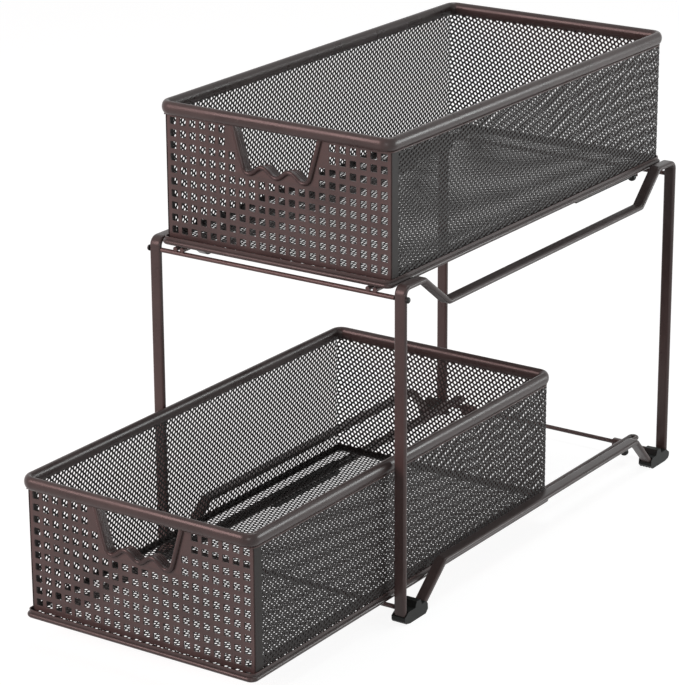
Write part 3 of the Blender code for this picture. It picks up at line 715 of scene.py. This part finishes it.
def make_materials():
    """All finishes, named after the pieces that have them."""
    return {
        "strip": lacquer("bronze_strip", BROWN, roughness=0.30, grain=2600.0, tone=28.0, bump=0.10),
        "wire": lacquer("bronze_wire", BROWN, roughness=0.28, grain=2600.0, tone=30.0, bump=0.08),
        # The trim's darker brown is painted shade
        "trim": lacquer("bronze_trim_painted_shade", SHADED_TRIM_BROWN, roughness=0.24, grain=2600.0, tone=30.0, bump=0.08),
        "plate": lacquer("bronze_plate", PLATE_BROWN, roughness=0.40, grain=1500.0, tone=24.0, bump=0.22),
        # The lattice's darker brown is partly painted shade
        "lattice": plain("bronze_lattice_and_painted_shade", LATTICE_BROWN_AND_PAINTED_SHADE, LATTICE_SHEEN, roughness=0.42),
        # The margin's darker brown is painted shade
        "margin": plain("bronze_margin_painted_shade", MARGIN_PAINTED_SHADE_BROWN, MARGIN_SHEEN, roughness=0.50),
        "foot": moulded("foot_plastic", FOOT_BLACK, roughness=0.52, grain=2400.0, bump=0.18),
        "fitting": moulded("fitting_plastic", FITTING_BLACK, roughness=0.42, grain=2600.0, bump=0.10),
    }


# Basket pieces

def basket_origin(prefix):
    """The middle of the rim's front edge, on its centre line."""
    low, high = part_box(prefix + "_rim")
    radius = RIM_DIAMETER / 2
    return Vector((0, low.y + radius, high.z - radius))


def loop(origin, outset, height, corner_radius):
    """The basket's outline from its front right corner round the back to its front left one."""
    half = HALF_WIDTH + outset
    far = BASKET_DEPTH + outset
    path = rounded_rectangle(half, -outset, far, corner_radius + outset, FINE_BEND)
    return [origin + Vector((x, y, height)) for x, y in path]


def rim_section():
    """The rim's rolled edge in section: as wide as the roll, drawn out downwards to an oval."""
    radius = RIM_DIAMETER / 2
    tall = (radius + ROLL_FOOT) / 2
    middle = radius - tall
    return [(x, middle + z * tall / radius) for x, z in circle(radius, ROLL_STEPS)]


def make_rim(prefix, body, origin, finishes):
    """The rolled rim all round, and the thin hem line outside the mesh on the sides and back."""
    path = loop(origin, 0, 0, CORNER_RADIUS)
    rim = sweep(prefix + "_rim_roll", path, (0, 0, 1), rim_section(), closed=True)
    dress(rim, body, "bronze_wire", finishes["wire"], prefix + "_rim")
    sides = path[FINE_BEND // 2 : -FINE_BEND // 2]
    outer = RIM_HEM_OUTSET + RIM_HEM_WIDTH
    bottom = RIM_HEM_TOP - RIM_HEM_DROP
    section = [
        (RIM_HEM_OUTSET, bottom),
        (outer, bottom),
        (outer, RIM_HEM_TOP - RIM_HEM_CHAMFER),
        (outer - RIM_HEM_CHAMFER, RIM_HEM_TOP),
        (RIM_HEM_OUTSET, RIM_HEM_TOP),
    ]
    hem = sweep(prefix + "_rim_hem", sides, (0, 0, 1), section)
    dress(hem, body, "bronze_wire", finishes["wire"])


def make_base(prefix, body, origin, finishes):
    """The base wire with the thin hem that stands on it outside the mesh."""
    radius = BASE_WIRE_DIAMETER / 2
    half = BASE_HEM_THICKNESS / 2
    start = math.pi / 2 - math.asin(half / radius)
    turn = 2 * (math.pi - math.asin(half / radius))
    top = BASE_HEM_TOP - BASE_WIRE_CENTRE
    section = [(-half, top), (half, top)]
    for step in range(ROLL_STEPS + 1):
        angle = start - turn * step / ROLL_STEPS
        section.append((radius * math.cos(angle), radius * math.sin(angle)))
    path = loop(origin, BASE_WIRE_OUTSET, BASE_WIRE_CENTRE, WALL_CORNER_RADIUS)
    wire = sweep(prefix + "_base_roll", path, (0, 0, 1), section, closed=True)
    dress(wire, body, "bronze_wire", finishes["wire"], prefix + "_base_wire")


def handle_path():
    """The handle opening's edge: down its left side, along the waves and up its right side."""
    swing = HANDLE_WAVE_HEIGHT / 2
    steps = 4 * FINE_BEND
    wave = []
    for step in range(1, steps):
        x = HANDLE_WAVE_LENGTH * (2 * step / steps - 1)
        lift = swing * (1 - math.cos(2 * math.pi * x / HANDLE_WAVE_LENGTH))
        wave.append((x, lift - HANDLE_DEPTH))
    corners = [
        (-HANDLE_TOP_HALF, -HANDLE_TOP_DROP),
        (-HANDLE_FOOT_HALF, -HANDLE_DEPTH),
        (0, -HANDLE_DEPTH),
    ]
    left = filleted(corners, HANDLE_CORNER_RADIUS)[:-1]
    return left + wave + [(-x, z) for x, z in reversed(left)]


def column_place(column):
    return (column - (HOLE_COLUMNS - 1) / 2) * HOLE_PITCH_X


def row_place(row):
    return -FIRST_ROW_DROP - row * HOLE_PITCH_Z


def notch_path(clearance):
    """A line along the outside of the handle's bead, the clearance away from it."""
    return offset_path(handle_path(), -BEAD_DIAMETER / 2 - clearance)


def scallops():
    """The plate's bottom edge from right to left, cut by a last row of holes."""
    half = HOLE_SIDE / 2
    top = row_place(HOLE_ROWS) + half
    edge = []
    for column in reversed(range(HOLE_COLUMNS)):
        centre = column_place(column)
        edge += [
            (centre + half, PLATE_BOTTOM),
            (centre + half, top - HOLE_CORNER),
            (centre + half - HOLE_CORNER, top),
            (centre - half + HOLE_CORNER, top),
            (centre - half, top - HOLE_CORNER),
            (centre - half, PLATE_BOTTOM),
        ]
    return edge


def plate_holes():
    """The grid of square holes, without those that would meet the handle's trim."""
    trim = notch_path(HOLE_CLEARANCE)
    trim = [(trim[0][0], 0)] + trim + [(trim[-1][0], 0)]
    half = HOLE_SIDE / 2
    square = rounded_rectangle(half, -half, half, HOLE_CORNER, HOLE_CORNER_STEPS)
    holes = []
    for column in range(HOLE_COLUMNS):
        for row in range(HOLE_ROWS):
            hole = [(column_place(column) + x, row_place(row) + z) for x, z in square]
            if not any(inside(corner, trim) for corner in hole):
                holes.append(hole)
    return holes


def plate_outlines():
    notch = notch_path(-TRIM_GAP)
    notch = [(notch[0][0], PLATE_TOP)] + notch + [(notch[-1][0], PLATE_TOP)]
    top_half = HALF_WIDTH - CORNER_RADIUS
    right_side = [
        (top_half, PLATE_TOP),
        (top_half, PLATE_SHOULDER),
        (PLATE_HALF, PLATE_SHOULDER),
        (PLATE_HALF, PLATE_BOTTOM),
    ]
    left_side = [(-x, z) for x, z in reversed(right_side)]
    return [notch + right_side + scallops() + left_side] + plate_holes()


def make_plate(prefix, body, origin, finishes):
    plate = flat_sheet(prefix + "_grille", plate_outlines(), PLATE_THICKNESS, PLATE_EDGE_BEVEL)
    middle = origin + Vector((0, PLATE_FRONT + PLATE_THICKNESS / 2, 0))
    plate.data.transform(Matrix.Translation(middle) @ Matrix.Rotation(math.pi / 2, 4, "X"))
    dress(plate, body, "bronze_plate", finishes["plate"], prefix + "_front_plate")
    path = [middle + Vector((x, 0, z)) for x, z in handle_path()]
    section = circle(BEAD_DIAMETER / 2, WIRE_STEPS, (0, -BEAD_FORWARD))
    bead = sweep(prefix + "_handle_bead", path, (0, 1, 0), section)
    # The bead and its lining take the trim's darker brown, which is painted shade
    dress(bead, body, "bronze_wire", finishes["trim"], prefix + "_handle_trim")
    lining = sweep(prefix + "_handle_lining", path, (0, 1, 0), lining_section())
    dress(lining, body, "bronze_wire", finishes["trim"])


def lining_section():
    """The folded sheet behind the handle's bead, with its fine ridges and its rolled end."""
    half = LINING_THICKNESS / 2
    size = LINING_RIDGE_SIZE
    side = [(half, BEAD_DIAMETER / 4)]
    for ridge in LINING_RIDGES:
        side += [(half, ridge - size), (half + size, ridge), (half, ridge + size)]
    side += [(half + extra, LINING_DEPTH - before) for before, extra in LINING_END]
    return side + [(-across, along) for across, along in reversed(side)]


def make_walls(prefix, body, origin, finishes):
    """The walls' mesh. The back wall's runs on round both rear corners."""
    height = WALL_TOP - WALL_BOTTOM
    start = PLATE_FRONT + MARGIN_WIDTH - MARGIN_OVERLAP
    panel = (BASKET_DEPTH - WALL_CORNER_RADIUS - start, height)
    for side, sign in (("left", -1), ("right", 1)):
        name = f"{prefix}_{side}"
        corner = origin + Vector((sign * HALF_WIDTH, start, WALL_BOTTOM))
        place = flat_place(corner, (0, 1, 0), (0, 0, 1))
        wall = lattice(name + "_lattice", (0, 0), panel, 1, WALL_OPEN_SHARE, place)
        dress(wall, body, "bronze_mesh", finishes["lattice"], name + "_mesh")
        inner = sign * HALF_WIDTH - MARGIN_THICKNESS / 2
        low = origin + Vector((inner, PLATE_FRONT, WALL_BOTTOM))
        high = low + Vector((MARGIN_THICKNESS, MARGIN_WIDTH, height))
        margin = block(name + "_margin", low, high)
        # The margin's darker brown is painted shade
        dress(soften(margin, MARGIN_ROUNDING), body, "bronze_mesh", finishes["margin"])
    straight = BASKET_WIDTH - 2 * WALL_CORNER_RADIUS
    panel = (straight + math.pi * WALL_CORNER_RADIUS, height)
    rear = origin + Vector((0, BASKET_DEPTH, WALL_BOTTOM))
    place = corner_place(rear, straight, WALL_CORNER_RADIUS)
    back = lattice(prefix + "_back_lattice", (0, 0), panel, -1, WALL_OPEN_SHARE, place)
    dress(back, body, "bronze_mesh", finishes["lattice"], prefix + "_back_mesh")


def make_floor(prefix, body, origin, finishes):
    """The floor's mesh in two pieces, because one would have too many triangles to export."""
    corner = origin + Vector((FLOOR_INSET - HALF_WIDTH, FLOOR_INSET, FLOOR_LEVEL))
    place = flat_place(corner, (1, 0, 0), (0, 1, 0))
    width, depth = BASKET_WIDTH - 2 * FLOOR_INSET, BASKET_DEPTH - 2 * FLOOR_INSET
    for part, near, far, nodes in (
        ("front", 0, depth / 2, [prefix + "_floor_mesh"]),
        ("rear", depth / 2, depth, []),
    ):
        name = f"{prefix}_floor_lattice_{part}"
        floor = lattice(name, (0, near), (width, far), -1, FLOOR_OPEN_SHARE, place)
        dress(floor, body, "bronze_mesh", finishes["lattice"], *nodes)


def finish_node(name, material, frame, rounding=EDGE_ROUNDING):
    """Keeps a CAD node whose shape is right, with softened edges and its finish."""
    kept = frame["nodes"][name]
    colour_piece(kept, material)
    soften(kept, rounding)


def make_basket(prefix, finishes, frame):
    body = prefix + "_basket"
    origin = basket_origin(prefix)
    make_rim(prefix, body, origin, finishes)
    make_base(prefix, body, origin, finishes)
    make_plate(prefix, body, origin, finishes)
    make_walls(prefix, body, origin, finishes)
    make_floor(prefix, body, origin, finishes)
    for side in ("left", "right"):
        finish_node(f"{prefix}_{side}_runner", finishes["strip"], frame)
        finish_node(f"{prefix}_{side}_glide", finishes["fitting"], frame)


# Frame pieces

def frame_origin_y():
    """Where the side frames' own lengths start, found from the front legs."""
    low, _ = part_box("left_side_hoop")
    return low.y + STRIP_THICKNESS / 2 - FRONT_LEG


def flat_oval():
    """The strip's section."""
    radius = STRIP_THICKNESS / 2
    reach = STRIP_WIDTH / 2 - radius
    points = []
    for start, centre in ((0, reach), (math.pi, -reach)):
        for step in range(FINE_BEND + 1):
            angle = start + math.pi * step / FINE_BEND
            points.append((radius * math.cos(angle), centre + radius * math.sin(angle)))
    return points


def hoop_path():
    """The hoop from the front leg's end over the dipped top to the rear leg's end."""
    dip = SIDE_TOP - SIDE_DIP
    front_top = (FRONT_LEG + DIP_FRONT_START / 2, SIDE_TOP)
    rear_top = (REAR_LEG - DIP_REAR_START / 2, SIDE_TOP)
    front = [(FRONT_LEG, LEG_END), (FRONT_LEG, SIDE_TOP), front_top]
    middle = [
        front_top,
        (FRONT_LEG + DIP_FRONT_START, SIDE_TOP),
        (FRONT_LEG + DIP_FRONT_START + DIP_FRONT_RUN, dip),
        (REAR_LEG - DIP_REAR_START - DIP_REAR_RUN, dip),
        (REAR_LEG - DIP_REAR_START, SIDE_TOP),
        rear_top,
    ]
    rear = [rear_top, (REAR_LEG, SIDE_TOP), (REAR_LEG, LEG_END)]
    path = filleted(front, TOP_BEND_RADIUS)[:-1]
    path += filleted(middle, DIP_BEND_RADIUS)[1:-1]
    return path + filleted(rear, TOP_BEND_RADIUS)[1:]


def rail_path():
    """The lower rail from its front end to its rear end."""
    corners = [
        (FRONT_LEG + RAIL_END_INSET, RAIL_END_HEIGHT),
        (FRONT_LEG + RAIL_FRONT_BEND, RAIL_HEIGHT),
        (REAR_LEG - RAIL_REAR_BEND, RAIL_HEIGHT),
        (REAR_LEG - RAIL_END_INSET, RAIL_END_HEIGHT),
    ]
    return filleted(corners, DIP_BEND_RADIUS)


def make_sides(finishes, frame):
    shift = frame_origin_y()
    for side in ("left", "right"):
        for what, path in (("side_hoop", hoop_path()), ("lower_rail", rail_path())):
            name = f"{side}_{what}"
            low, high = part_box(name)
            x = (low.x + high.x) / 2
            points = [Vector((x, y + shift, z)) for y, z in path]
            strip = sweep(name + "_strip", points, (1, 0, 0), flat_oval())
            dress(strip, "frame", "bronze_frame", finishes["strip"], name)
        for end in ("front", "rear"):
            name = f"{end}_{side}_foot"
            finish_node(name, finishes["foot"], frame, FOOT_ROUNDING)


def make_rods(finishes):
    for name in ("upper_front_rod", "upper_rear_rod", "lower_front_rod", "lower_rear_rod"):
        low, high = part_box(name)
        y, z = (low.y + high.y) / 2, (low.z + high.z) / 2
        ends = [Vector((low.x, y, z)), Vector((high.x, y, z))]
        rod = sweep(name + "_wire", ends, (0, 0, 1), circle(WIRE_DIAMETER / 2, WIRE_STEPS))
        dress(rod, "frame", "bronze_frame", finishes["wire"], name)


def track_path(name):
    """The middle of a track's wire, bent back on itself behind."""
    low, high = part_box(name)
    x, z = (low.x + high.x) / 2, (low.z + high.z) / 2
    half = (high.x - low.x - WIRE_DIAMETER) / 2
    rear = high.y - WIRE_DIAMETER / 2 - half
    steps = 2 * FINE_BEND
    path = [Vector((x + half, low.y, z))]
    for step in range(steps + 1):
        angle = math.pi * step / steps
        path.append(Vector((x + half * math.cos(angle), rear + half * math.sin(angle), z)))
    return path + [Vector((x - half, low.y, z))]


def make_tracks(finishes, frame):
    for tier in ("upper", "lower"):
        for side in ("left", "right"):
            name = f"{tier}_{side}_track"
            section = circle(WIRE_DIAMETER / 2, WIRE_STEPS)
            wire = sweep(name + "_wire", track_path(name), (0, 0, 1), section)
            dress(wire, "frame", "bronze_frame", finishes["wire"], name)
            name = f"{tier}_{side}_bracket"
            finish_node(name, finishes["strip"], frame, BRACKET_ROUNDING)
            make_stop(f"{tier}_{side}_stop", finishes)


def make_stop(name, finishes):
    low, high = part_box(name)
    radius = (high.z - low.z) / 2
    length = high.y - low.y
    base = Vector(((low.x + high.x) / 2, high.y, (low.z + high.z) / 2))
    profile = [(radius * wide, length - radius * back) for wide, back in KNOB_FACE_SHARES]
    profile += [(radius * wide, length * along) for wide, along in KNOB_NECK_SHARES]
    stop = turned(name + "_knob", profile, base, (0, -1, 0))
    dress(stop, "frame", "black_fittings", finishes["fitting"], name)


def make_caps(finishes):
    for side, sign in (("left", -1), ("right", 1)):
        name = f"front_{side}_rod_cap"
        low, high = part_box(name)
        radius = (high.z - low.z) / 2
        height = high.x - low.x
        inner = low.x if sign > 0 else high.x
        base = Vector((inner, (low.y + high.y) / 2, (low.z + high.z) / 2))
        profile = [(0, height)]
        for degrees in DOME_ANGLES:
            angle = math.radians(degrees)
            rise = height * (1 - DOME_SHARE + DOME_SHARE * math.cos(angle))
            profile.append((radius * math.sin(angle), rise))
        profile += [(radius, height * CAP_EDGE_SHARE), (radius, 0), (0, 0)]
        cap = turned(name + "_dome", profile, base, (sign, 0, 0))
        dress(cap, "frame", "black_fittings", finishes["fitting"], name)


# Stage

def seen_directly(tree):
    """1 for rays that show the background, straight or in a reflection, and 0 for the rest."""
    rays = tree.nodes.new("ShaderNodeLightPath")
    seen = rays.outputs["Is Camera Ray"]
    for kind in ("Is Glossy Ray", "Is Transmission Ray"):
        both = node(tree, "ShaderNodeMath", operation="MAXIMUM")
        tree.links.new(seen, both.inputs[0])
        tree.links.new(rays.outputs[kind], both.inputs[1])
        seen = both.outputs[0]
    return seen


def diffuse(tree, grey):
    return node(tree, "ShaderNodeBsdfDiffuse", Color=(grey, grey, grey, 1))


def make_stage():
    """A pale floor that shows white with the object's shadow on it."""
    low = (-STAGE_REACH, -STAGE_REACH, STAGE_BOTTOM)
    high = (STAGE_REACH, STAGE_REACH, STAGE_TOP)
    floor = block("studio_floor", low, high)
    material = bpy.data.materials.new("studio_floor")
    material.use_nodes = True
    tree = material.node_tree
    tree.nodes.clear()
    matt = diffuse(tree, FLOOR_COLOUR)
    shadow = diffuse(tree, SHADOW_SHARE)
    glow = node(tree, "ShaderNodeEmission", Strength=FLOOR_GLOW)
    shown = tree.nodes.new("ShaderNodeAddShader")
    tree.links.new(shadow.outputs["BSDF"], shown.inputs[0])
    tree.links.new(glow.outputs["Emission"], shown.inputs[1])
    mix = tree.nodes.new("ShaderNodeMixShader")
    tree.links.new(seen_directly(tree), mix.inputs["Fac"])
    tree.links.new(matt.outputs["BSDF"], mix.inputs[1])
    tree.links.new(shown.outputs["Shader"], mix.inputs[2])
    out = tree.nodes.new("ShaderNodeOutputMaterial")
    tree.links.new(mix.outputs["Shader"], out.inputs["Surface"])
    floor.data.materials.append(material)


def make_world():
    """Even light, dimmer for the object than where the background itself shows."""
    world = bpy.data.worlds.new("studio")
    bpy.context.scene.world = world
    world.use_nodes = True
    tree = world.node_tree
    strength = ramp(tree, seen_directly(tree), (0.0, 1.0), (WORLD_LIGHT, 1.0))
    background = tree.nodes["Background"]
    background.inputs["Color"].default_value = (1, 1, 1, 1)
    tree.links.new(strength, background.inputs["Strength"])


def make_lamps():
    for name, place, size, power, colour in LAMPS:
        data = bpy.data.lights.new(name, "AREA")
        data.shape = "RECTANGLE"
        data.size, data.size_y = size
        data.energy = power
        data.color = colour
        lamp = scene_object(name, data)
        lamp.location = place
        aim = Vector(LAMP_TARGET) - Vector(place)
        lamp.rotation_euler = aim.to_track_quat("-Z", "Y").to_euler()


def make_camera():
    data = bpy.data.cameras.new("camera")
    camera = scene_object("camera", data)
    level = Vector((-math.sin(CAMERA_YAW), math.cos(CAMERA_YAW), 0))
    forward = level * math.cos(CAMERA_PITCH) - Vector((0, 0, math.sin(CAMERA_PITCH)))
    right = Vector((math.cos(CAMERA_YAW), math.sin(CAMERA_YAW), 0))
    up = right.cross(forward)
    spin = Matrix.Rotation(-CAMERA_ROLL, 3, forward)
    turn = Matrix((spin @ right, spin @ up, -forward)).transposed()
    camera.matrix_world = Matrix.Translation(CAMERA_PLACE) @ turn.to_4x4()
    data.sensor_width = SENSOR
    data.lens = FOCAL_PIXELS * SENSOR / FRAME_HEIGHT
    data.shift_x = (FRAME_WIDTH / 2 - AXIS_X) / FRAME_HEIGHT
    data.shift_y = (AXIS_Y - FRAME_HEIGHT / 2) / FRAME_HEIGHT
    data.clip_start, data.clip_end = CLIP_START, CLIP_END
    bpy.context.scene.camera = camera


def main():
    clear_scene()
    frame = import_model()
    finishes = make_materials()
    make_sides(finishes, frame)
    make_rods(finishes)
    make_tracks(finishes, frame)
    make_caps(finishes)
    for prefix in ("upper", "lower"):
        make_basket(prefix, finishes, frame)
    make_stage()
    make_world()
    make_lamps()
    make_camera()
    bpy.context.scene.view_settings.view_transform = "Standard"


main()
